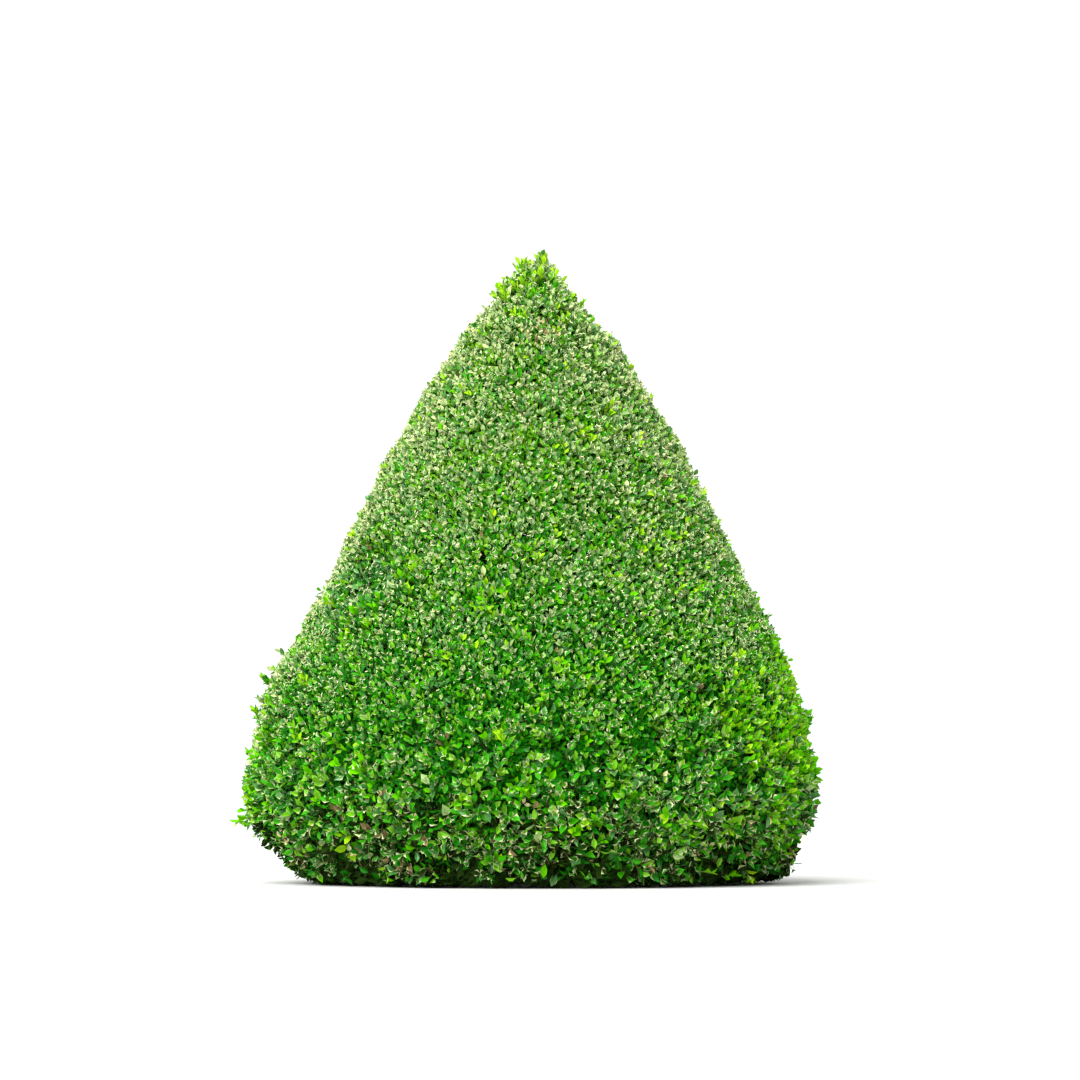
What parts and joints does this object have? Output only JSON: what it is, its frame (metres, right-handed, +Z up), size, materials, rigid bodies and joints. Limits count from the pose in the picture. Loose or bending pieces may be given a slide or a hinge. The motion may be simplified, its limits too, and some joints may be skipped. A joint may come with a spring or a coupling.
{
  "type": "boxwood cone topiary",
  "caption": "Dense evergreen shrub clipped to a broad cone with a rounded skirt, rooted in the ground; a freestanding garden accent.",
  "frame": {"origin": "middle of the flat cut under the trunk, at ground level", "axes": "+Z up along the cone's height, -Y towards the viewer of the pictured side, +X to that viewer's right"},
  "size_m": [1.1092, 1.1055, 1.1942],
  "materials": {
    "bark": "grey-brown, finely fissured matt bark",
    "mature_leaves": "small leathery evergreen leaves with a soft sheen",
    "young_leaves": "bright yellow-green young leaves, unclipped"
  },
  "bodies": {
    "root": {"trunk": "bark", "bough_front": "bark", "bough_front_right": "bark", "bough_back_right": "bark", "bough_back_left": "bark", "bough_front_left": "bark", "leader": "bark", "crown_front": "mature_leaves", "crown_front_right": "mature_leaves", "crown_back_right": "mature_leaves", "crown_back_left": "mature_leaves", "crown_front_left": "mature_leaves", "crown_tip": "young_leaves"}
  },
  "joints": []
}
